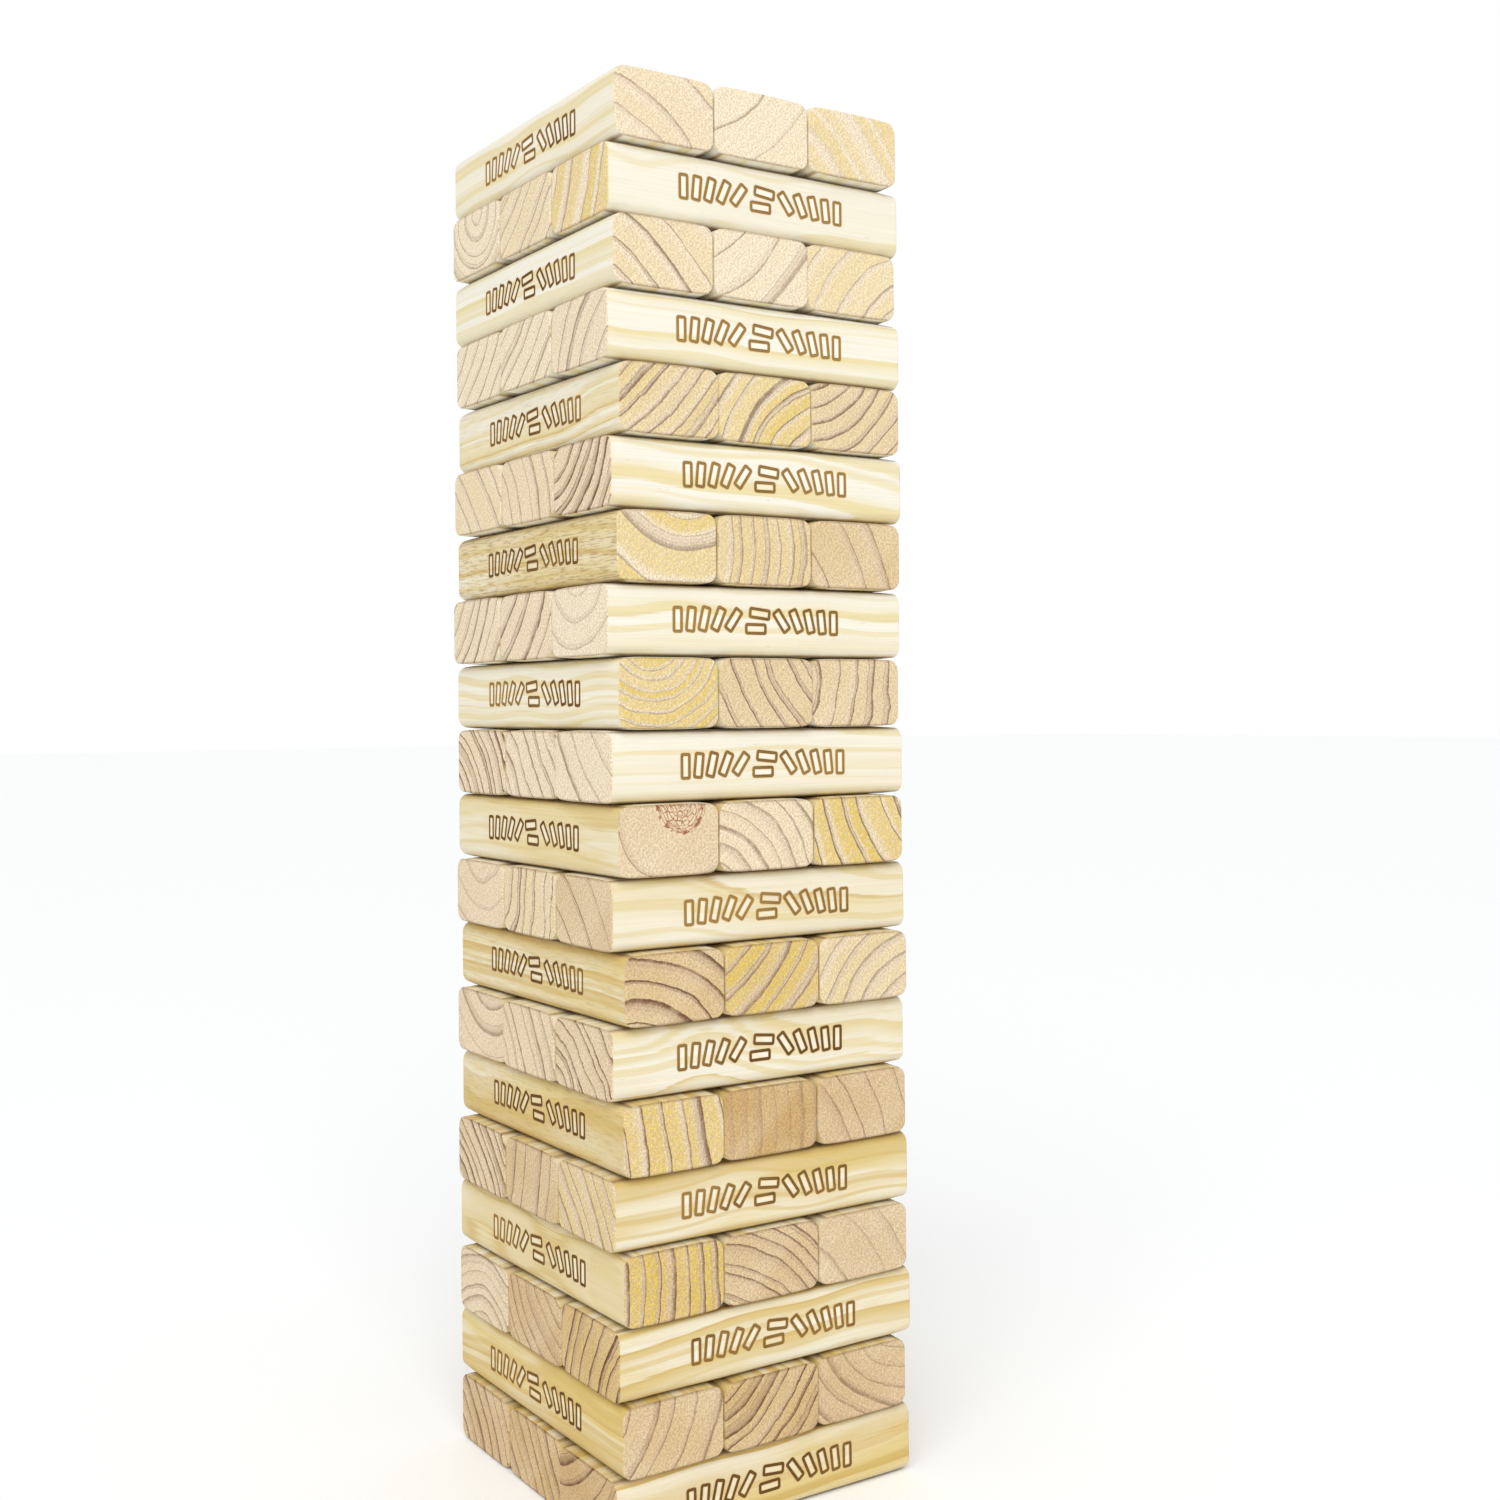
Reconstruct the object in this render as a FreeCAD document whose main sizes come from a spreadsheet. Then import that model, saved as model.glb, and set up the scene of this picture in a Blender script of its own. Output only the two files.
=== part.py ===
# Giant tumbling tower: a lawn game of loose pine blocks, three to a layer, each layer laid across the last.
#
# Every block is the same piece, cut from one size of planed timber. Its four long edges are rounded
# over, its two sawn ends are eased, and three blocks side by side are about as wide as one is long.
# Odd layers, counted from the ground, lie along X and even layers lie along Y.
# Millimetres. +Z is up, and the origin is on the ground under the middle of the tower.
import FreeCAD, Part
import os
import Sketcher

OUTPUT_FOLDER = "parts"
LAYER_COUNT = 20
SEATS_ALONG_X = ("front", "middle", "back")
SEATS_ALONG_Y = ("left", "middle", "right")

# The driving dimensions. A scatter is the furthest that hand stacking leaves a piece from its place.
DIMENSIONS = {
    "block_length": ("190.5", "sawn length of a block"),
    "block_width": ("61", "wide side of the planed timber"),
    "block_height": ("38.1", "narrow side of the planed timber, and the height of one layer"),
    "long_edge_radius": ("6", "round-over along the four long edges"),
    "end_edge_radius": ("1", "sanded edge around each sawn end"),
    "side_gap": ("0.6", "gap between neighbours in one layer"),
    "shift_scatter": ("1.2", "how far a whole layer sits off centre"),
    "push_scatter": ("0.9", "how far one block stands proud of its layer"),
    "turn_scatter": ("0.35", "how far a whole layer is turned, in degrees"),
}

# Steps of sequences that spread evenly over each scatter, so that no two layers sit alike.
SHIFT_X_STEP = 0.618
SHIFT_Y_STEP = 0.414
PUSH_STEP = 0.732
TURN_STEP = 0.236

# Names for the numbers that Sketcher uses.
START, END = 1, 2
ORIGIN = -1

doc = FreeCAD.newDocument("tumbling_tower")


def make_sheet():
    """The spreadsheet of driving dimensions: name, value and meaning, one to a row."""
    sheet = doc.addObject("Spreadsheet::Sheet", "dimensions")
    for row, (alias, (value, meaning)) in enumerate(DIMENSIONS.items(), start=1):
        sheet.set(f"A{row}", alias)
        sheet.set(f"B{row}", value)
        sheet.set(f"C{row}", meaning)
        sheet.setAlias(f"B{row}", alias)
    doc.recompute()
    return sheet


def scatter(alias, step, count):
    """An expression that lies between minus and plus the named scatter and differs for each count."""
    return f"dimensions.{alias} * (2 * mod({count} * {step}; 1) - 1)"


def placement(x, y, z, angle):
    """An expression for a placement: a turn about Z, then a move."""
    vector = f"create(<<vector>>; {x}; {y}; {z})"
    rotation = f"create(<<rotation>>; create(<<vector>>; 0; 0; 1); {angle})"
    return f"create(<<placement>>; {vector}; {rotation})"


def add_profile(body):
    """The timber's section before rounding, a rectangle that stands on the body's origin."""
    plane = next(f for f in body.Origin.OriginFeatures if f.Role == "YZ_Plane")
    sketch = body.newObject("Sketcher::SketchObject", f"{body.Name}_section")
    sketch.AttachmentSupport = (plane, [""])
    sketch.MapMode = "FlatFace"
    corners = [FreeCAD.Vector(x, y, 0) for x, y in ((-1, 0), (1, 0), (1, 1), (-1, 1))]
    sides = [Part.LineSegment(a, b) for a, b in zip(corners, corners[1:] + corners[:1])]
    bottom, right, top, left = sketch.addGeometry(sides)
    for side, following in ((bottom, right), (right, top), (top, left), (left, bottom)):
        sketch.addConstraint(Sketcher.Constraint("Coincident", side, END, following, START))
    for side in (bottom, top):
        sketch.addConstraint(Sketcher.Constraint("Horizontal", side))
    for side in (right, left):
        sketch.addConstraint(Sketcher.Constraint("Vertical", side))
    centred = Sketcher.Constraint("Symmetric", bottom, START, bottom, END, ORIGIN, START)
    sketch.addConstraint(centred)
    width = sketch.addConstraint(Sketcher.Constraint("DistanceX", bottom, START, bottom, END, 2))
    height = sketch.addConstraint(Sketcher.Constraint("DistanceY", right, START, right, END, 1))
    sketch.setExpression(f"Constraints[{width}]", "dimensions.block_width")
    sketch.setExpression(f"Constraints[{height}]", "dimensions.block_height")
    return sketch


def add_fillet(body, base, kind, chosen, radius):
    """A fillet on the edges of the base feature that the chosen test picks."""
    edges = [f"Edge{i}" for i, e in enumerate(base.Shape.Edges, start=1) if chosen(e)]
    fillet = body.newObject("PartDesign::Fillet", f"{body.Name}_{kind}")
    fillet.Base = (base, edges)
    fillet.setExpression("Radius", f"dimensions.{radius}")
    doc.recompute()
    return fillet


def is_long_edge(edge):
    """True for an edge that runs along the block, from one sawn end to the other."""
    return abs(edge.tangentAt(edge.FirstParameter).x) > 0.99


def is_end_edge(edge):
    """True for an edge that lies in one of the block's sawn ends."""
    first, last = (edge.valueAt(t) for t in (edge.FirstParameter, edge.LastParameter))
    return abs(first.x - last.x) < 0.001


def add_block(name):
    """One block, along its body's X axis, with the origin in the middle of its underside."""
    body = doc.addObject("PartDesign::Body", name)
    body.Label = name
    section = add_profile(body)
    timber = body.newObject("PartDesign::Pad", f"{name}_timber")
    timber.Profile = section
    timber.SideType = "Symmetric"
    timber.setExpression("Length", "dimensions.block_length")
    doc.recompute()
    rounded = add_fillet(body, timber, "rounded_edges", is_long_edge, "long_edge_radius")
    body.Tip = add_fillet(body, rounded, "eased_ends", is_end_edge, "end_edge_radius")
    return body


def seat_block(body, layer, seat, along_x):
    """Places a block: its layer is raised, shifted and turned, then the block takes its seat in it."""
    heading = 0 if along_x else 90
    layer_place = placement(
        scatter("shift_scatter", SHIFT_X_STEP, layer),
        scatter("shift_scatter", SHIFT_Y_STEP, layer),
        f"{layer - 1} * dimensions.block_height",
        f"{heading} + {scatter('turn_scatter', TURN_STEP, layer)}",
    )
    # Seats count towards +Y along X, and towards +X along Y, which is the turned layer's own -Y.
    seats_from_middle = seat - 1 if along_x else 1 - seat
    seat_place = placement(
        scatter("push_scatter", PUSH_STEP, 3 * layer + seat),
        f"{seats_from_middle} * (dimensions.block_width + dimensions.side_gap)",
        0,
        0,
    )
    body.setExpression("Placement", f"{layer_place} * {seat_place}")


def build_tower():
    """Every block of the tower, from the ground up."""
    bodies = []
    for layer in range(1, LAYER_COUNT + 1):
        along_x = layer % 2 == 1
        for seat, seat_name in enumerate(SEATS_ALONG_X if along_x else SEATS_ALONG_Y):
            body = add_block(f"layer_{layer:02d}_{seat_name}_block")
            seat_block(body, layer, seat, along_x)
            bodies.append(body)
    doc.recompute()
    return bodies


def check(bodies):
    """Stops the build if any object of the document failed or any block isn't one sound solid."""
    for item in doc.Objects:
        if {"Invalid", "Error"} & set(item.State):
            raise RuntimeError(f"{item.Label} failed: {item.State}")
    for body in bodies:
        shape = body.Shape
        if shape.isNull() or not shape.isValid() or len(shape.Solids) != 1:
            raise RuntimeError(f"{body.Label} isn't one valid solid")


def export(bodies):
    """Writes each block's shape to its own file."""
    os.makedirs(OUTPUT_FOLDER, exist_ok=True)
    for body in bodies:
        body.Shape.exportStep(f"{OUTPUT_FOLDER}/{body.Label}.step")


make_sheet()
blocks = build_tower()
check(blocks)
export(blocks)
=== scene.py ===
# The looks of a giant tumbling tower: sixty loose pine blocks with a mark burnt into their narrow sides,
# on a pale floor in soft studio light. Every block's place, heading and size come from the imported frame.
import math
import random

import bmesh
import bpy
import numpy as np
from mathutils import Matrix, Vector, geometry, noise


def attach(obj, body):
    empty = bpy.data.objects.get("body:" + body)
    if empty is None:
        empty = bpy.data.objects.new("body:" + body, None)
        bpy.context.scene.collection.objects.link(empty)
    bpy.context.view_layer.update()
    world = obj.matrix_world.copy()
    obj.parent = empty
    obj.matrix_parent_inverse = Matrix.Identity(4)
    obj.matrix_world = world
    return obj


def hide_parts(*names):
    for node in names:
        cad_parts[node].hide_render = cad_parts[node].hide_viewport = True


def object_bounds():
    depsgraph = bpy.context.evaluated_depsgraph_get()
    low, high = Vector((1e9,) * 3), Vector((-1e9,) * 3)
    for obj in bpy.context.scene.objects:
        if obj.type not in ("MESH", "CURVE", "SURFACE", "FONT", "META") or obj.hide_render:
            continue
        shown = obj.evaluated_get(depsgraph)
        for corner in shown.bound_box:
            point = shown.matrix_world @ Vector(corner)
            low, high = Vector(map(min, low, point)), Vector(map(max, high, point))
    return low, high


def linear(code):
    """A colour's linear values from its six hexadecimal digits."""
    parts = [int(code[i:i + 2], 16) / 255 for i in (0, 2, 4)]
    return tuple(c / 12.92 if c <= 0.04045 else ((c + 0.055) / 1.055) ** 2.4 for c in parts) + (1.0,)


MM = 0.001

# A block's shape, in millimetres.
LONG_EDGE_RADIUS = 6.0
END_EDGE_RADIUS = 1.0
SANDING = 0.45          # how much the round-over varies along a block
CORNER_STEPS = 6
END_STEPS = 3
LENGTH_STEPS = 20
CROWN = 0.4             # how far the broad faces fall away towards their edges
CROWN_WIDTH = 9.0       # and over what width
CREASE = 32             # degrees between two faces that meet in a sharp edge

# The mark: a row of bricks in burnt outline that topple from both sides towards two laid flat. Millimetres.
BRICK_WIDTH = 6.2
BRICK_HEIGHT = 14.0
BRICK_CORNER = 1.4
BRICK_GAP = 2.0
BRICK_SLIP = 1.3
BRICK_TILTS = (36, 24, 14, 6, 0)    # degrees, from the middle outwards
FLAT_TILTS = (90, 96)
LINE_WIDTH = 1.6
LINE_DEPTH = 0.35
LINE_SLOPE = 0.14
SCORCH_WIDTH = 0.6      # the browned wood around a line
INSIDE = -1.0           # what the scorch attribute holds inside a brick, from 1 on the line and 0 outside
ARC_STEPS = 3
WELD = 0.00001          # points closer than this are one
MARK_TURN = 0.5         # degrees, how far a mark may be burnt askew
MARK_SHIFT = (2.5, 0.8)

# What the end of each block shows, left to right as seen from the front left: the direction of the tree's
# centre in degrees, its distance and the spacing of the rings in millimetres, then from 0 to 1 how dark
# the rings are, how yellow the wood is, and how tan. The tan is partly the wood's own tone and partly
# painted shade, larger towards the bottom of the tower.
GRAIN = {
    20: ((230, 70, 23, .50, .20, .15), (135, 80, 24, .35, .10, .05), (225, 150, 13, .06, .60, .10)),
    19: ((90, 20, 8, .35, .05, .05), (135, 150, 11, .40, .30, .10), (160, 120, 18, .50, .90, .05)),
    18: ((225, 120, 15, .60, .30, .15), (135, 90, 18, .45, .10, .05), (315, 70, 14, .35, .50, .05)),
    17: ((140, 200, 11, .45, .05, .05), (138, 200, 11, .50, .05, .05), (325, 80, 14, .50, .10, .10)),
    16: ((135, 150, 8, .60, .50, .25), (315, 60, 10, .60, .90, .10), (130, 60, 9, .70, .30, .30)),
    15: ((218, 200, 15, .45, .25, .10), (200, 120, 11, .50, .15, .15), (140, 60, 9, 1.0, .05, .25)),
    14: ((80, 55, 18, .35, .80, .10), (175, 120, 8, .45, .50, .25), (210, 100, 20, .45, .20, .45)),
    13: ((145, 90, 10, .65, .10, .10), (140, 90, 14, .75, .05, .15), (90, 30, 14, .30, .00, .00)),
    12: ((110, 28, 6, .30, .90, .10), (30, 80, 11, .75, .20, .35), (170, 60, 12, .65, .20, .30)),
    11: ((215, 70, 7.5, 1.0, .05, .15), (215, 120, 11, .65, .05, .05), (40, 90, 18, .50, .00, .05)),
    10: ((68, 20, 41, .40, .10, .30), (225, 55, 9, .45, .10, .10), (25, 90, 12, .80, 1.0, .15)),
    9: ((80, 35, 14, .30, .05, .15), (170, 70, 10, .80, .25, .10), (220, 150, 18, .60, .05, .40)),
    8: ((243, 66, 11, .90, .20, .50), (140, 90, 11, .50, .90, .40), (315, 75, 11, .45, .40, .10)),
    7: ((70, 40, 14, .35, .05, .15), (207, 300, 10, .55, .05, .15), (220, 100, 9, .95, .05, .25)),
    6: ((190, 150, 12, .80, .90, .20), (180, 160, 9, .18, .15, .75), (205, 110, 15, .50, .05, .50)),
    5: ((222, 130, 7, .95, .05, .25), (170, 200, 14, .65, .10, .45), (215, 250, 9.5, .55, .65, .20)),
    4: ((180, 200, 9, .75, 1.0, .40), (235, 90, 7.5, .75, .10, .45), (215, 90, 18, .25, .05, .35)),
    3: ((270, 40, 8, .40, .00, .10), (45, 60, 8.5, .60, .10, .50), (335, 90, 9, 1.0, .45, .55)),
    2: ((160, 80, 13, .50, .15, .40), (138, 80, 8, .95, .20, .55), (50, 50, 10, .35, .05, .45)),
    1: ((215, 100, 9, .70, .05, .45), (213, 250, 9, .60, .20, .50), (125, 60, 10, .85, .05, .60)),
}
# How tan the long sides of each layer are, from 0 to 1, from the bottom layer up. This is partly the wood's
# own tone and partly painted shade, which makes the lower layers darker and more tan.
SIDE_TONE_AND_SHADE = (.95, 1, .65, .5, .85, .9, .28, .8, .28, .75, .12, .2, .03, .7, 0, .18, 0, 0, .12, .1)
# Blocks whose grain runs crooked, and the one cut around the tree's dark centre (its radius).
CROOKED = {"layer_07_front": 2.6, "layer_11_middle": 2.0, "layer_09_middle": 2.2, "layer_12_right": 1.8}
HEART = {"layer_10_left": 16.0}
NO_HEART = -50.0        # the heart radius of the others, small enough that nothing of it shows
# Blocks whose sides are cut across the fibres and so look coarse and brown.
COARSE = {"layer_14_left": 1.0, "layer_06_left": 0.4, "layer_08_left": 0.3, "layer_16_left": 0.2}
LOW_TAN_AND_SHADE = 0.25          # painted shade: how much more tan the ends of the lowest blocks are than those of the highest
LEAN = 0.035            # how far the tree's centre may wander off per unit of a block's length
TONE_SPREAD = 0.1       # by how much the sides of one layer may be less tan than its tone

# Where the pine shader changes over, in millimetres in from a face, from full strength to none, and how
# strong the painted shade along the edges where blocks touch is, from 0 to 1.
SAWN_DEPTH = (0.35, 0.9)        # end grain
SIDE_SHADE_REACH = (4.0, 6.8)        # painted shade where covered faces meet, in from the narrow sides
TOP_SHADE_REACH = (0.4, 2.2)         # and in from the broad faces
END_SHADE_SHARE = 0.6                # how much of that painted shade runs along the edges of the sawn ends
CONTACT_SHADE_STRENGTH = 0.9

# The burning of the marks: how dark it is on the front and on the left, how much it fades towards the top
# of the tower, how much it varies from block to block, and how far it bleaches and browns the wood nearby.
CHAR_FRONT = 0.35
CHAR_LEFT = 0.6
CHAR_FADE = 0.5
CHAR_SPREAD = 0.2
BARE_STRENGTH = 0.4
SCORCH_STRENGTH = 0.7

# Colours, as they look in daylight.
END_WOOD = linear("F5E8D0")
END_TAN = linear("C5A068")
END_YELLOW = linear("DEC034")
LATE_WOOD = linear("A88A6C")
DARK_LATE_WOOD = linear("967454")
RING_LINE = linear("6C462C")
HEART_WOOD = linear("E9D4B4")
HEART_RING = linear("B57C4C")
HEART_CRACK = linear("8A4A20")
SIDE_WOOD = linear("F0EBDD")
SIDE_TAN = linear("DCC47C")
SIDE_BAND = linear("E4D398")
SIDE_DEEP = linear("CCAC5E")
SIDE_LINE = linear("C9A75E")
SIDE_FLECK = linear("A37B40")
# Painted shade where the blocks touch.
CONTACT_SHADE = linear("84603C")
BARE_WOOD = linear("FBF4E6")    # inside the burnt bricks
SCORCHED = linear("C79A55")
BURNT = linear("A28046")
CHARRED = linear("684A22")
FLOOR = linear("FCFEFF")
FLOOR_TOOTH = linear("FEFFFF")

# How deep the bumps of each material are, in metres.
PINE_RELIEF = 0.00018
CHAR_RELIEF = 0.0001
PAPER_RELIEF = 0.00002

# The studio, in metres, watts and, for the sun, watts per square metre.
ROOM_LIGHT = 0.74
SUN_PLACE = (-1.6, -1.9, 3.0)
SUN_POWER = 1.1
SUN_WIDTH = 50          # degrees
KEY_PLACE = (-0.7, -1.5, 1.3)
KEY_SIZE = 0.9
KEY_POWER = 4
FLOOR_SIZE = 40

# The camera: its lens in millimetres, its place in metres and its heading in degrees.
SENSOR = 36
LENS = 42.05
LENS_SHIFT = (0.0385, -0.0459)
CAMERA_BEARING = -32.05
CAMERA_DISTANCE = 1.0213
CAMERA_HEIGHT = 0.429
CAMERA_HEADING = -32.67
CAMERA_PITCH = 90.96
CAMERA_ROLL = -0.5


class Shader:
    """A material's nodes, with a short way to add each kind that is used here."""

    def __init__(self, name):
        self.material = bpy.data.materials.new(name)
        self.material.use_nodes = True
        self.tree = self.material.node_tree
        self.tree.nodes.clear()

    def feed(self, socket, value):
        if isinstance(value, bpy.types.NodeSocket):
            self.tree.links.new(value, socket)
        elif value is not None:
            socket.default_value = value

    def add(self, kind, *values, **settings):
        node = self.tree.nodes.new("ShaderNode" + kind)
        for key, value in settings.items():
            setattr(node, key, value)
        for socket, value in zip(node.inputs, values):
            self.feed(socket, value)
        return node

    def math(self, operation, *values):
        return self.add("Math", *values, operation=operation).outputs[0]

    def times(self, first, *others):
        """The product of all the values."""
        for other in others:
            first = self.math("MULTIPLY", first, other)
        return first

    def vector(self, operation, *values):
        node = self.add("VectorMath", *values, operation=operation)
        return node.outputs["Value" if operation == "LENGTH" else "Vector"]

    def scaled(self, vector, *factors):
        return self.vector("MULTIPLY", vector, factors)

    def moved(self, vector, seed, *distances):
        """The vector moved by the seed times three distances, which sets each block apart in the noise."""
        return self.vector("MULTIPLY_ADD", self.join(seed, seed, seed), distances, vector)

    def join(self, *parts):
        return self.add("CombineXYZ", *parts).outputs[0]

    def split(self, vector):
        return self.add("SeparateXYZ", vector).outputs

    def step(self, value, low, high, start=0.0, end=1.0):
        """Goes smoothly from start to end as value goes from low to high."""
        node = self.add("MapRange", value, low, high, start, end, interpolation_type="SMOOTHSTEP")
        return node.outputs[0]

    def near(self, value, low, high):
        """1 where value is below low, and smoothly less until it is 0 from high on."""
        return self.step(value, low, high, 1.0, 0.0)

    def fit(self, value, start, end):
        """Maps 0 to 1 onto start to end."""
        return self.add("MapRange", value, 0.0, 1.0, start, end).outputs[0]

    def mix(self, factor, a, b, blend="MIX"):
        node = self.add("Mix", data_type="RGBA", blend_type=blend)
        for index, value in ((0, factor), (6, a), (7, b)):
            self.feed(node.inputs[index], value)
        return node.outputs[2]

    def shaded(self, colour, factor, low, high):
        """The colour times a grey that goes from low to high with the factor."""
        return self.mix(1.0, colour, self.mix(factor, (*low, 1.0), (*high, 1.0)), "MULTIPLY")

    def mix_values(self, factor, a, b):
        return self.add("Mix", factor, None, a, b).outputs[0]

    def noise(self, vector, scale, detail=2.0, roughness=0.5):
        """Noise from 0 to 1, with a scale for each direction."""
        node = self.add("TexNoise", self.scaled(vector, *scale), None, 1.0, detail, roughness)
        return node.outputs["Fac"]

    def drift(self, vector, scale, reach, detail=1.0):
        """Smooth noise around 0 in three directions, up to about half of each reach."""
        node = self.add("TexNoise", self.scaled(vector, *scale), None, 1.0, detail, 0.5)
        return self.scaled(self.vector("SUBTRACT", node.outputs["Color"], (0.5, 0.5, 0.5)), *reach)

    def wander(self, value):
        """Smooth noise around 0 along a line."""
        node = self.add("TexNoise", None, value, 1.0, 0.0, noise_dimensions="1D")
        return self.math("SUBTRACT", node.outputs["Fac"], 0.5)

    def own(self, name, output="Vector"):
        """A block's own property."""
        node = self.add("Attribute", attribute_type="OBJECT", attribute_name=name)
        return node.outputs[output]

    def painted(self, name, output):
        """A value painted on the mesh."""
        return self.add("Attribute", attribute_name=name).outputs[output]

    def finish(self, colour, roughness, height, distance, specular=0.3):
        bump = self.add("Bump", 1.0, distance)
        self.feed(bump.inputs["Height"], height)
        surface = self.add("BsdfPrincipled")
        self.feed(surface.inputs["Base Color"], colour)
        self.feed(surface.inputs["Roughness"], roughness)
        self.feed(surface.inputs["Specular IOR Level"], specular)
        self.feed(surface.inputs["Normal"], bump.outputs[0])
        self.add("OutputMaterial", surface.outputs[0])
        return self.material


# The pine shader works in a block's own millimetres: X along the block, Y across and Z up. So the scales of
# its noises are per millimetre, and its steps along a ring or in from an edge are distances.

def annual_rings(s, place, seed):
    """The tree's rings through a block: position within a ring from 0 to 1, the millimetres back to where it
    started and on to where it stops, three random values for it, and the distance from the tree's centre:
    whole, across and up."""
    moved = s.moved(place, seed, 173.1, 317.7, 571.3)
    bend = s.drift(moved, (0.006, 0.028, 0.028), (0.0, 7.0, 7.0))
    bend = s.vector("ADD", bend, s.drift(moved, (0.012, 0.14, 0.14), (0.0, 1.3, 1.3)))
    bend = s.vector("ADD", bend, s.drift(moved, (0.03, 0.7, 0.7), (0.0, 0.5, 0.5)))
    bend = s.vector("ADD", bend, s.drift(moved, (0.014, 0.003, 0.003), (0.0, 9.0, 9.0), 0.0))
    crooked = s.own("crooked", "Fac")
    bend = s.vector("MULTIPLY", bend, s.join(crooked, crooked, crooked))
    pith, lean = s.own("pith"), s.own("lean")
    along = s.split(place)[0]
    centre = s.vector("MULTIPLY_ADD", lean, s.join(along, along, along), pith)
    _, across, up = s.split(s.vector("ADD", s.vector("SUBTRACT", place, centre), bend))
    radius = s.vector("LENGTH", s.join(0.0, across, up))
    spacing = s.split(pith)[0]
    count = s.math("DIVIDE", radius, spacing)
    uneven = s.wander(s.math("MULTIPLY_ADD", seed, 91.7, count))
    count = s.math("MULTIPLY_ADD", uneven, 0.6, count)
    ring = s.math("FLOOR", count)
    within = s.math("SUBTRACT", count, ring)
    since = s.times(within, spacing)
    until = s.math("SUBTRACT", spacing, since)
    key = s.math("MULTIPLY_ADD", ring, 1.37, s.times(seed, 37.1))
    chance = s.add("TexWhiteNoise", None, key, noise_dimensions="1D").outputs["Color"]
    return within, (since, until), s.split(chance), (radius, across, up)


def pine():
    """Planed pine. Rings show as dark lines on the sawn ends and as soft tan bands along the sides."""
    s = Shader("pine")
    place = s.painted("timber", "Vector")
    seed = s.own("seed", "Fac")
    tone = s.split(s.own("tone"))
    seeded = s.moved(place, seed, 71.3, 39.1, 23.7)
    rings = annual_rings(s, place, seed)
    end, end_height, end_roughness = sawn_end(s, seeded, tone, rings)
    side, side_height, side_roughness = planed_side(s, seeded, tone, rings)
    from_end, from_side, from_top = s.split(s.vector("SUBTRACT", s.own("half"), s.vector("ABSOLUTE", place)))
    sawn = s.near(from_end, *SAWN_DEPTH)
    colour = s.mix(sawn, side, end)
    # Painted shade: the wood darkens along the long edges where one layer lies on another, in place of the
    # shade in the narrow gap between them. The top layer's upper faces are left out.
    covered = s.mix_values(s.step(s.split(place)[2], -1.0, 1.0), 1.0, s.own("covered", "Fac"))
    edge = s.mix_values(sawn, s.near(from_side, *SIDE_SHADE_REACH), END_SHADE_SHARE)
    painted_shade = s.times(s.near(from_top, *TOP_SHADE_REACH), edge, covered, CONTACT_SHADE_STRENGTH)
    colour = s.mix(painted_shade, colour, s.mix(1.0, colour, CONTACT_SHADE, "MULTIPLY"))
    scorch = s.painted("scorch", "Fac")
    colour = s.mix(s.step(scorch, 0.0, INSIDE, 0.0, BARE_STRENGTH), colour, BARE_WOOD)
    colour = s.mix(s.fit(scorch, 0.0, SCORCH_STRENGTH), colour, SCORCHED)
    height = s.mix_values(sawn, side_height, end_height)
    return s.finish(colour, s.mix_values(sawn, side_roughness, end_roughness), height, PINE_RELIEF)


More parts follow.
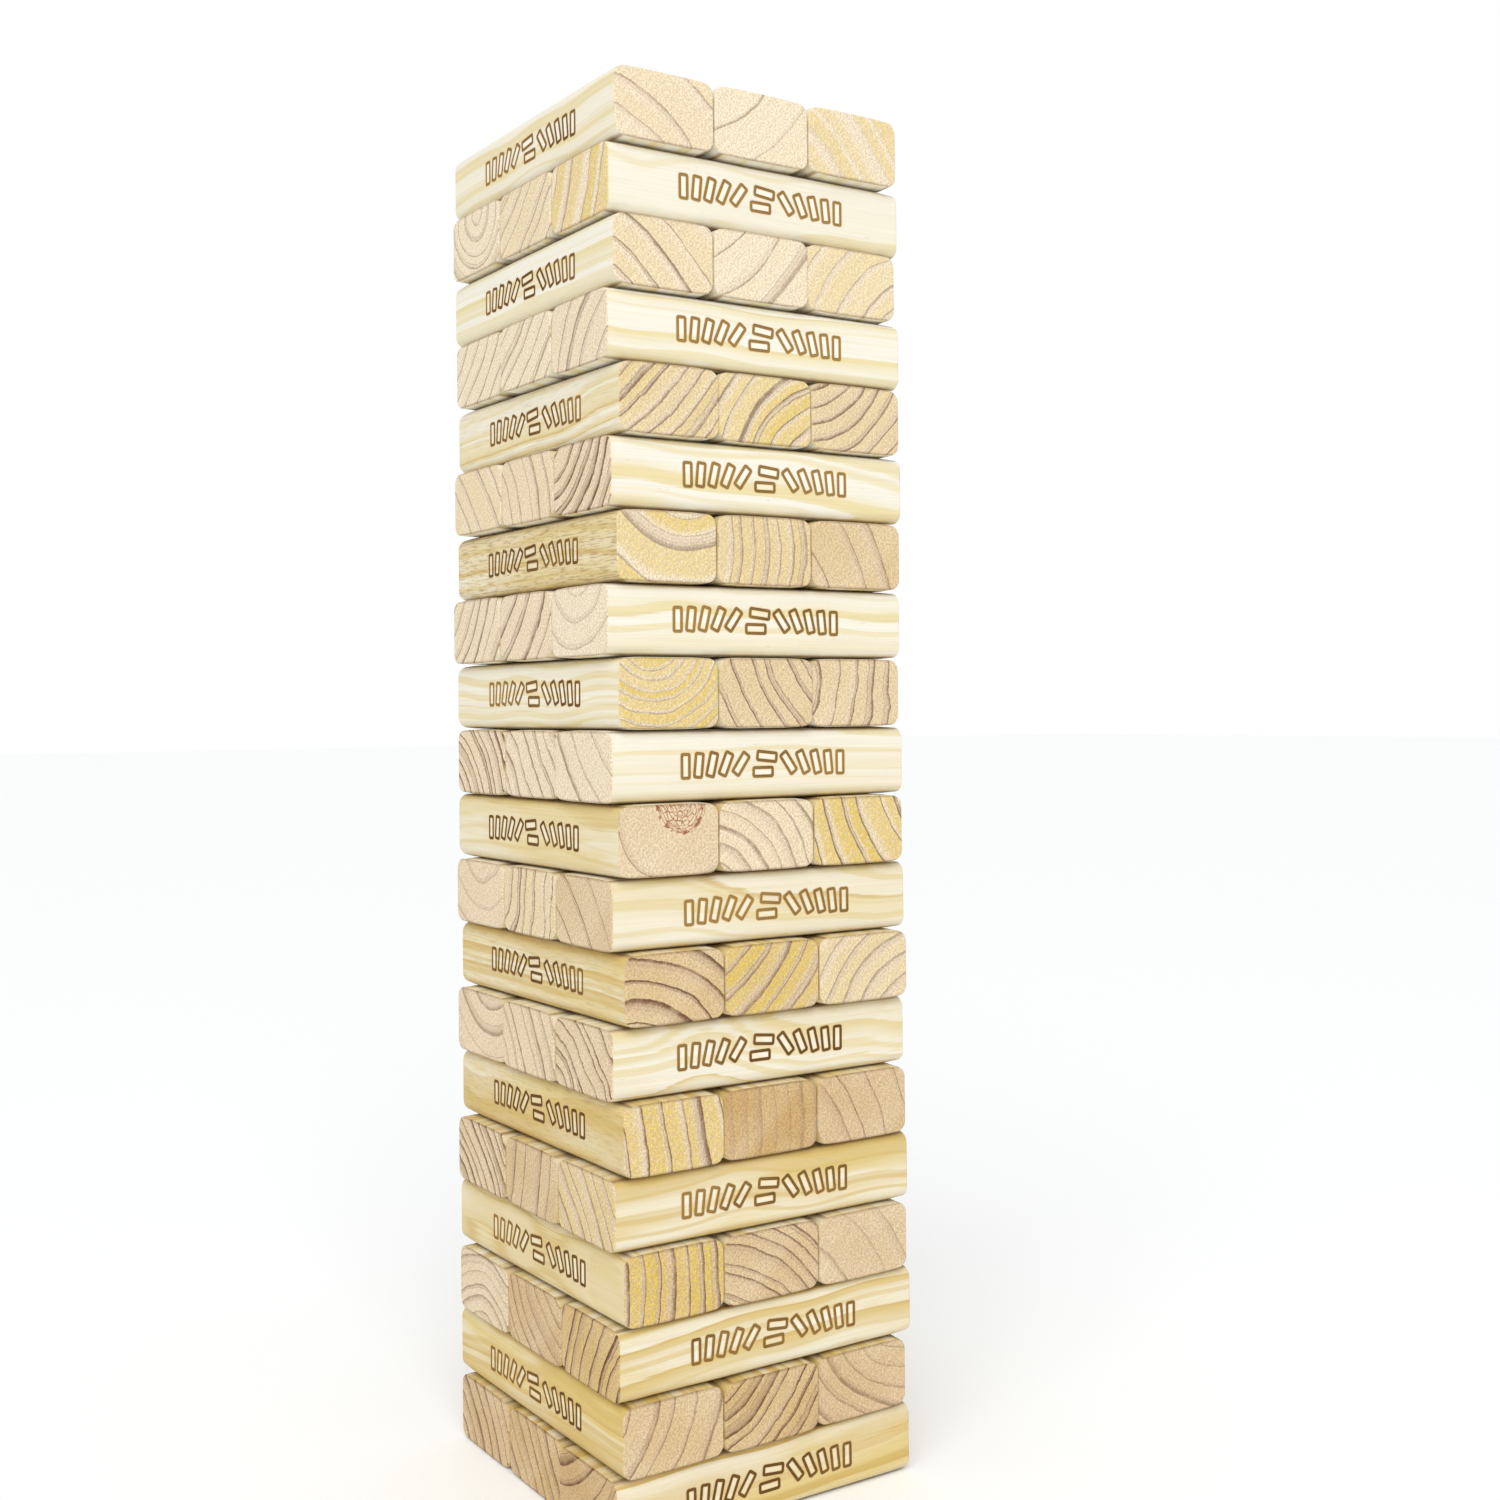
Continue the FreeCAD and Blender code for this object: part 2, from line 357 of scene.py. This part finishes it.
def sawn_end(s, seeded, tone, rings):
    """End grain: late wood darkens slowly through a ring and stops at once where the next ring starts."""
    dark, yellow, tan_and_shade = tone
    within, (since, until), (chance_a, chance_b, chance_c), centre = rings
    cells = s.noise(seeded, (0.0, 0.85, 0.85), 3.0, 0.75)
    pores = s.noise(seeded, (0.0, 0.55, 0.55), 2.0, 0.6)
    patches = s.noise(seeded, (0.0, 0.035, 0.035))
    broken = s.noise(seeded, (0.0, 0.11, 0.11))
    _, y, z = s.split(seeded)
    teeth = s.join(s.math("ADD", y, z), s.math("SUBTRACT", y, z), 0.0)
    teeth = s.noise(teeth, (0.9, 0.03, 0.0), 2.0, 0.6)

    # The ends' tan, in patches. Its amount is partly painted shade, larger the lower the block lies.
    wood = s.mix(s.times(tan_and_shade, s.step(patches, 0.2, 0.7, 0.7, 1.0)), END_WOOD, END_TAN)
    early = s.times(s.near(within, 0.5, 0.8), s.step(pores, 0.3, 0.6, 0.35, 1.0))
    gold = s.times(early, s.step(cells, 0.36, 0.52, 0.15, 1.0), s.fit(chance_c, 0.6, 1.0))
    wood = s.mix(s.times(gold, yellow), wood, END_YELLOW)

    until = s.math("ADD", until, s.fit(cells, -0.6, 0.6))
    deep = s.math("POWER", dark, 0.6)
    reach = s.fit(chance_b, 2.0, 5.5)
    late = s.times(s.near(until, 0.0, reach), s.step(since, 0.0, 0.3))
    strands = s.wander(s.math("MULTIPLY_ADD", centre[0], 1.1, s.times(chance_b, 31.0)))
    band = s.times(late, s.step(cells, 0.3, 0.65, 0.6, 1.1), s.fit(chance_c, 0.5, 1.0))
    band = s.times(band, s.step(strands, -0.12, 0.1, 0.45, 0.95), deep)
    wood = s.mix(band, wood, s.mix(s.step(dark, 0.55, 1.0), LATE_WOOD, DARK_LATE_WOOD))

    width = s.math("MULTIPLY_ADD", dark, 0.6, s.fit(chance_a, 0.6, 1.7))
    line = s.math("MAXIMUM", s.near(until, 0.25, width), s.near(since, 0.0, 0.25))
    false_line = s.math("ABSOLUTE", s.math("MULTIPLY_ADD", reach, -0.75, until))
    false_line = s.times(s.near(false_line, 0.15, 0.55), s.step(chance_c, 0.35, 0.9, 0.0, 0.7))
    line = s.times(s.math("MAXIMUM", line, false_line), s.step(broken, 0.3, 0.55, 0.5, 1.0))
    line = s.times(line, s.mix_values(dark, s.fit(chance_a, 0.3, 0.9), 1.0), deep)
    wood = s.mix(line, wood, RING_LINE)

    wood = s.shaded(wood, s.step(cells, 0.34, 0.66), (0.76, 0.72, 0.66), (1.13, 1.13, 1.12))
    wood = s.shaded(wood, s.step(teeth, 0.35, 0.65), (0.94, 0.935, 0.93), (1.03, 1.03, 1.03))
    wood = heart_wood(s, wood, centre, seeded)
    return wood, s.math("MULTIPLY_ADD", teeth, 0.8, cells), s.step(cells, 0.3, 0.7, 0.72, 0.88)


def planed_side(s, seeded, tone, rings):
    """Side grain: the same rings, cut along their length into soft bands, with fine fibres over them."""
    dark = tone[0]
    within, _, (chance_a, chance_b, chance_c), (radius, _, _) = rings
    fibres = s.noise(seeded, (0.012, 1.1, 1.1), 4.0, 0.65)
    flecks = s.noise(seeded, (0.09, 1.0, 1.0), 2.0, 0.6)
    cloud = s.noise(seeded, (0.006, 0.05, 0.05), 3.0, 0.65)
    # The sides' tan. Its amount is partly painted shade, larger the lower the block lies.
    side_tan_and_shade = s.own("side_tone_and_shade", "Fac")
    coarse = s.own("coarse", "Fac")
    wood = s.mix(s.times(side_tan_and_shade, s.step(cloud, 0.35, 0.62, 0.35, 1.05)), SIDE_WOOD, SIDE_TAN)

    frayed = s.math("ADD", within, s.fit(fibres, -0.11, 0.11))
    soft = s.times(s.step(frayed, s.fit(chance_b, 0.15, 0.6), 0.9), s.near(frayed, 0.94, 1.04))
    strength = s.times(s.fit(dark, 0.5, 1.0), s.fit(chance_c, 0.35, 1.0), s.fit(side_tan_and_shade, 0.95, 1.3))
    band = s.mix(side_tan_and_shade, SIDE_BAND, SIDE_DEEP)
    wood = s.mix(s.times(soft, strength), wood, band)
    strands = s.wander(s.math("MULTIPLY_ADD", radius, 0.28, s.times(s.own("seed", "Fac"), 53.0)))
    wood = s.mix(s.step(strands, 0.04, 0.16, 0.0, 0.55), wood, band)
    thin = s.times(s.step(frayed, 0.86, 0.93), s.near(frayed, 0.95, 1.0))
    wood = s.mix(s.times(thin, s.step(chance_a, 0.45, 0.95, 0.0, 0.55)), wood, SIDE_LINE)

    wood = s.shaded(wood, s.step(fibres, 0.3, 0.7), (0.95, 0.94, 0.90), (1.02, 1.02, 1.02))
    wood = s.mix(s.step(flecks, 0.68, 0.76, 0.0, 0.35), wood, SIDE_LINE)
    wood = s.mix(s.times(coarse, s.step(flecks, 0.48, 0.66, 0.0, 0.6)), wood, SIDE_FLECK)
    return wood, fibres, s.step(fibres, 0.3, 0.7, 0.5, 0.62)


def heart_wood(s, end, centre, seeded):
    """The cracked centre of the tree, inside the block's own heart radius: pale wood with fine brown rings,
    short cracks that run out from the middle, and dark patches on its rim."""
    radius, across, up = centre
    turn = s.math("ARCTAN2", across, up)
    blotch = s.noise(seeded, (0.0, 0.28, 0.28), 3.0, 0.6)
    depth = s.math("SUBTRACT", s.own("heart", "Fac"), radius)
    inside = s.step(s.math("ADD", depth, s.fit(blotch, 2.5, -2.5)), 0.0, 0.6)
    rim = s.times(s.near(depth, 1.0, 4.5), s.step(blotch, 0.47, 0.54))
    web = s.join(s.times(turn, 2.6), s.times(radius, 0.45), 0.0)
    web = s.add("TexVoronoi", web, None, 1.0, feature="DISTANCE_TO_EDGE", voronoi_dimensions="2D")
    cracks = s.times(s.near(web.outputs["Distance"], 0.05, 0.13), s.step(blotch, 0.4, 0.56, 0.25, 1.0))
    fine = s.step(s.wander(s.times(radius, 1.1)), 0.0, 0.1, 0.0, 0.6)
    end = s.mix(s.times(inside, 0.85), end, HEART_WOOD)
    end = s.mix(s.times(fine, inside), end, HEART_RING)
    return s.mix(s.times(s.math("MAXIMUM", cracks, rim), inside, 0.9), end, HEART_CRACK)


def burnt_wood():
    """Wood scorched by the branding iron, darker where it pressed harder."""
    s = Shader("burnt_wood")
    seeded = s.moved(s.painted("timber", "Vector"), s.own("seed", "Fac"), 31.0, 57.0, 83.0)
    fibres = s.noise(seeded, (0.08, 1.4, 1.4), 3.0, 0.65)
    press = s.noise(seeded, (0.02, 0.02, 0.02), 1.0)
    char = s.math("MULTIPLY_ADD", fibres, 0.6, s.step(press, 0.3, 0.7, -0.2, 0.3))
    char = s.math("ADD", char, s.own("char", "Fac"))
    colour = s.mix(s.step(char, 0.1, 0.95), BURNT, CHARRED)
    return s.finish(colour, s.step(fibres, 0.3, 0.7, 0.7, 0.9), fibres, CHAR_RELIEF, 0.2)


def studio_floor_material():
    """Matt paper with the faintest tooth."""
    s = Shader("paper")
    grain = s.noise(s.add("TexCoord").outputs["Object"], (900, 900, 900), 3.0)
    return s.finish(s.mix(s.step(grain, 0.3, 0.7), FLOOR, FLOOR_TOOTH), 0.9, grain, PAPER_RELIEF, 0.1)


# The shape of a block. Its own frame, in millimetres: X along the block, Z up, the origin in its middle.

def block_place(node):
    """A CAD block's placement in the shared frame, and its length, width and height in millimetres."""
    points = np.array([v.co for v in node.data.vertices])
    centre = (points.min(0) + points.max(0)) / 2
    flat = points[:, :2] - centre[:2]
    spread = flat.T @ flat
    heading = math.atan2(2 * spread[0, 1], spread[0, 0] - spread[1, 1]) / 2
    # A block's heading is near 0 or 90 degrees, and never read as its opposite.
    if heading < -math.pi / 4:
        heading += math.pi
    place = Matrix.Translation(centre) @ Matrix.Rotation(heading, 4, "Z")
    own = [place.inverted() @ Vector(p) for p in points]
    size = tuple((max(p[i] for p in own) - min(p[i] for p in own)) / MM for i in range(3))
    return place, size


def section(width, height, radii):
    """A block's outline across its length, anticlockwise from the lower right: four corner arcs, and a flat
    strip along the middle of each slightly crowned broad face."""
    points = []
    strip = width / 2 - LONG_EDGE_RADIUS - CROWN_WIDTH
    for corner, radius in enumerate(radii):
        side = 1 if corner in (0, 1) else -1
        level = -1 if corner in (0, 3) else 1
        centre = (side * (width / 2 - radius), level * (height / 2 - CROWN - radius))
        for i in range(CORNER_STEPS + 1):
            angle = math.radians(90 * (corner - 1 + i / CORNER_STEPS))
            points.append((centre[0] + radius * math.cos(angle), centre[1] + radius * math.sin(angle)))
        if corner in (1, 3):
            points += [(side * strip, level * height / 2), (-side * strip, level * height / 2)]
    return points


def stations(length):
    """Positions along a block with the depth of the eased end there, and how far the broad faces fall."""
    body = length / 2 - END_EDGE_RADIUS
    eased = []
    for i in range(1, END_STEPS + 1):
        angle = math.radians(90 * i / END_STEPS)
        x = body + END_EDGE_RADIUS * math.sin(angle)
        eased.append((x, END_EDGE_RADIUS * (1 - math.cos(angle)), CROWN))
    middle = []
    for i in range(LENGTH_STEPS + 1):
        x = body * (2 * i / LENGTH_STEPS - 1)
        middle.append((x, 0.0, CROWN * max(0.0, 1 - (body - abs(x)) / CROWN_WIDTH)))
    return [(-x, inset, fall) for x, inset, fall in reversed(eased)] + middle + eased


def sanded_radii(x, seed, inset):
    """The four corner radii at x, which hand sanding leaves a little uneven."""
    return [
        LONG_EDGE_RADIUS - inset + SANDING * noise.noise(Vector((x * 0.03, corner * 7.0, seed * 100)))
        for corner in range(4)
    ]


def brick_outline(centre, tilt, grow):
    """A brick's outline, anticlockwise and grown by some millimetres. Its tilt is in degrees, clockwise."""
    radius = max(BRICK_CORNER + grow, 0.3)
    reach = (BRICK_WIDTH / 2 + grow - radius, BRICK_HEIGHT / 2 + grow - radius)
    c, s = math.cos(math.radians(tilt)), math.sin(math.radians(tilt))
    points = []
    for corner, (sx, sz) in enumerate(((1, -1), (1, 1), (-1, 1), (-1, -1))):
        for i in range(ARC_STEPS + 1):
            angle = math.radians(90 * (corner - 1 + i / ARC_STEPS))
            x, z = sx * reach[0] + radius * math.cos(angle), sz * reach[1] + radius * math.sin(angle)
            points.append((centre[0] + c * x + s * z, centre[1] + c * z - s * x))
    return points


def mark_bricks():
    """The centre and tilt of each brick of the mark."""
    level = (BRICK_WIDTH + BRICK_GAP) / 2
    bricks = [((-BRICK_SLIP, -level), FLAT_TILTS[0]), ((BRICK_SLIP, level), FLAT_TILTS[1])]
    edge = BRICK_HEIGHT / 2
    previous = None
    for tilt in BRICK_TILTS:
        c, s = math.cos(math.radians(tilt)), math.sin(math.radians(tilt))
        if previous is None:
            x = edge + BRICK_GAP + (BRICK_WIDTH * c + BRICK_HEIGHT * s) / 2
        else:
            x = previous + BRICK_WIDTH / cosine + BRICK_GAP
        z = (BRICK_HEIGHT * c + BRICK_WIDTH * s - BRICK_HEIGHT) / 2
        bricks += [((-x, z), tilt), ((x, z), -tilt)]
        previous, cosine = x, c
    return bricks


def side_panel(bm, side, low, high, turn, shift, scorch_layer):
    """One narrow side, between the rows of section points low and high, with the mark cut into it."""
    outline = low + high[::-1]
    spots = [(v.co.x, v.co.z) for v in outline]
    scorch = [0.0] * len(outline)
    loops = [list(range(len(outline)))]
    c, s = math.cos(turn), math.sin(turn)
    inner = -LINE_WIDTH - SCORCH_WIDTH
    cuts = ((SCORCH_WIDTH, 0.0), (0.0, 1.0), (-LINE_WIDTH, 1.0), (inner, INSIDE))
    for centre, tilt in mark_bricks():
        for grow, amount in cuts:
            points = brick_outline(centre, tilt, grow)
            loops.append(list(range(len(spots), len(spots) + len(points))))
            spots += [(c * x - s * z + shift[0], s * x + c * z + shift[1]) for x, z in points]
            scorch += [amount] * len(points)
    flat, _, faces, sources, _, owners = geometry.delaunay_2d_cdt(
        [Vector(p) for p in spots], [], loops, 0, WELD, True
    )
    verts = []
    for position, source in zip(flat, sources):
        first = min(source) if source else None
        if first is not None and first < len(outline):
            verts.append(outline[first])
            continue
        vert = bm.verts.new((position.x, side, position.y))
        vert[scorch_layer] = 0.0 if first is None else scorch[first]
        verts.append(vert)
    lines = []
    for corners, loops_around in zip(faces, owners):
        if 0 not in loops_around:
            continue
        face = bm.faces.new([verts[i] for i in (corners if side < 0 else corners[::-1])])
        # The burnt line lies inside a brick's second cut and outside its third.
        kinds = {(loop - 1) % len(cuts) for loop in loops_around if loop}
        if 1 in kinds and 2 not in kinds:
            face.material_index = 1
            lines.append(face)
    bm.normal_update()
    bmesh.ops.inset_region(bm, faces=lines, thickness=LINE_SLOPE, depth=-LINE_DEPTH, use_even_offset=True)


def block_mesh(name, size, seed, rng):
    """A block in its own frame, in millimetres."""
    length, width, height = size
    bm = bmesh.new()
    scorch_layer = bm.verts.layers.float.new("scorch")
    rings = []
    for x, inset, fall in stations(length):
        outline = section(width - 2 * inset, height - 2 * (inset + fall), sanded_radii(x, seed, inset))
        rings.append([bm.verts.new((x, y, z)) for y, z in outline])
    count = len(rings[0])
    # The last section point before each narrow side.
    right, left = CORNER_STEPS, 3 * CORNER_STEPS + 4
    panels = range(END_STEPS, END_STEPS + LENGTH_STEPS)
    for i, (ring, following) in enumerate(zip(rings, rings[1:])):
        for k in range(count):
            if k in (right, left) and i in panels:
                continue
            n = (k + 1) % count
            bm.faces.new((ring[k], ring[n], following[n], following[k]))
    bm.faces.new(rings[0][::-1])
    bm.faces.new(rings[-1])
    covered = rings[END_STEPS:END_STEPS + LENGTH_STEPS + 1]
    for side, first, second in ((width / 2, right, right + 1), (-width / 2, left + 1, left)):
        low, high = [r[first] for r in covered], [r[second] for r in covered]
        turn = math.radians(rng.uniform(-MARK_TURN, MARK_TURN))
        shift = [rng.uniform(-reach, reach) for reach in MARK_SHIFT]
        side_panel(bm, side, low, high, turn, shift, scorch_layer)
    bmesh.ops.recalc_face_normals(bm, faces=bm.faces)
    mesh = bpy.data.meshes.new(name)
    bm.to_mesh(mesh)
    bm.free()
    return mesh


def grain_of(node_name, size, rng):
    """The properties that the two wood shaders read for one block, next to its seed."""
    key = node_name.removesuffix("_block")
    _, layer, seat = key.split("_")
    number = int(layer)
    along_x = number % 2 == 1
    order = ("back", "middle", "front") if along_x else ("left", "middle", "right")
    burn = CHAR_FRONT if along_x else CHAR_LEFT
    direction, distance, spacing, dark, yellow, tan_and_shade = GRAIN[number][order.index(seat)]
    angle = math.radians(direction)
    return {
        "pith": (float(spacing), -distance * math.cos(angle), distance * math.sin(angle)),
        "lean": (0.0, rng.uniform(-LEAN, LEAN), rng.uniform(-LEAN, LEAN)),
        # The ends' tan, with painted shade added the lower the layer lies.
        "tone": (dark, yellow, min(1.0, tan_and_shade + LOW_TAN_AND_SHADE * (1 - number / len(GRAIN)))),
        "side_tone_and_shade": SIDE_TONE_AND_SHADE[number - 1] * rng.uniform(1 - TONE_SPREAD, 1),
        "crooked": CROOKED.get(key, 1.0),
        "heart": HEART.get(key, NO_HEART),
        "char": rng.uniform(-CHAR_SPREAD, CHAR_SPREAD) + burn - CHAR_FADE * number / len(GRAIN),
        "coarse": COARSE.get(key, 0.0),
        "half": tuple(length / 2 for length in size),
        # Whether a layer lies on this one; only then does painted shade run along its upper edges.
        "covered": float(number < len(GRAIN)),
    }


def make_block(node_name, node, materials):
    """The visible block that stands for a CAD block."""
    rng = random.Random(node_name)
    place, size = block_place(node)
    seed = rng.random()
    mesh = block_mesh(node_name, size, seed, rng)
    own = np.array([v.co for v in mesh.vertices], np.float32)
    timber = mesh.attributes.new("timber", "FLOAT_VECTOR", "POINT")
    timber.data.foreach_set("vector", own.ravel())
    mesh.transform(place @ Matrix.Scale(MM, 4))
    for material in materials:
        mesh.materials.append(material)
    mesh.shade_smooth()
    mesh.set_sharp_from_angle(angle=math.radians(CREASE))
    block = bpy.data.objects.new(node_name.replace("_block", "_pine_block"), mesh)
    bpy.context.scene.collection.objects.link(block)
    block.modifiers.new("flat_faces", "WEIGHTED_NORMAL").keep_sharp = True
    block["seed"] = seed
    for key, value in grain_of(node_name, size, rng).items():
        block[key] = value
    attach(block, node_name)
    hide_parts(node_name)
    return block


def make_floor(level):
    """A sheet of pale paper that lies flat under the tower and runs out of sight."""
    bpy.ops.mesh.primitive_plane_add(size=FLOOR_SIZE, location=(0, 0, level))
    floor = bpy.context.object
    floor.name = "studio_floor"
    floor.data.materials.append(studio_floor_material())


def make_lamp(kind, name, location, target, power, **settings):
    """A lamp that shines from its location towards the target."""
    lamp = bpy.data.lights.new(name, kind)
    lamp.energy = power
    for key, value in settings.items():
        setattr(lamp, key, value)
    thing = bpy.data.objects.new(name, lamp)
    thing.location = location
    thing.rotation_euler = (Vector(target) - thing.location).to_track_quat("-Z", "Y").to_euler()
    bpy.context.scene.collection.objects.link(thing)


def make_light(middle):
    """A bright room, seen as plain white, and a very soft sun and a weak lamp high behind the camera."""
    world = bpy.data.worlds.new("studio")
    world.use_nodes = True
    tree = world.node_tree
    background = tree.nodes["Background"]
    background.inputs["Color"].default_value = (1.0, 1.0, 1.0, 1.0)
    seen = tree.nodes.new("ShaderNodeLightPath")
    strength = tree.nodes.new("ShaderNodeMapRange")
    strength.inputs["To Min"].default_value = ROOM_LIGHT
    strength.inputs["To Max"].default_value = 1.0
    tree.links.new(seen.outputs["Is Camera Ray"], strength.inputs["Value"])
    tree.links.new(strength.outputs["Result"], background.inputs["Strength"])
    bpy.context.scene.world = world
    make_lamp("SUN", "window", SUN_PLACE, middle, SUN_POWER, angle=math.radians(SUN_WIDTH))
    make_lamp("AREA", "key", KEY_PLACE, middle, KEY_POWER, shape="DISK", size=KEY_SIZE)


def make_camera():
    """The view from the front left, a little over one metre away and somewhat above the tower's middle."""
    camera = bpy.data.cameras.new("camera")
    camera.sensor_width = SENSOR
    camera.lens = LENS
    camera.shift_x, camera.shift_y = LENS_SHIFT
    thing = bpy.data.objects.new("camera", camera)
    bearing = math.radians(CAMERA_BEARING)
    place = Vector((math.sin(bearing), -math.cos(bearing), 0)) * CAMERA_DISTANCE
    place.z = CAMERA_HEIGHT
    turn = Matrix.Identity(4)
    for angle, axis in ((CAMERA_HEADING, "Z"), (CAMERA_PITCH, "X"), (CAMERA_ROLL, "Z")):
        turn = turn @ Matrix.Rotation(math.radians(angle), 4, axis)
    thing.matrix_world = Matrix.Translation(place) @ turn
    bpy.context.scene.collection.objects.link(thing)
    bpy.context.scene.camera = thing


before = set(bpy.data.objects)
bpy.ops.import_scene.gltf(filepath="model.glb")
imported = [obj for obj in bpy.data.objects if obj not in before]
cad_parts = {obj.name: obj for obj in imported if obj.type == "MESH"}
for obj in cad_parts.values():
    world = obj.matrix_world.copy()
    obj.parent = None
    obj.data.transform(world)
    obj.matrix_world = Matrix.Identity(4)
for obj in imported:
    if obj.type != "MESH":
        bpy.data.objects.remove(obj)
cad_low, cad_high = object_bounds()
wood = (pine(), burnt_wood())
for node_name, node in sorted(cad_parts.items()):
    make_block(node_name, node, wood)
make_floor(cad_low.z)
make_light((cad_low + cad_high) / 2)
make_camera()
bpy.context.scene.view_settings.view_transform = "Standard"
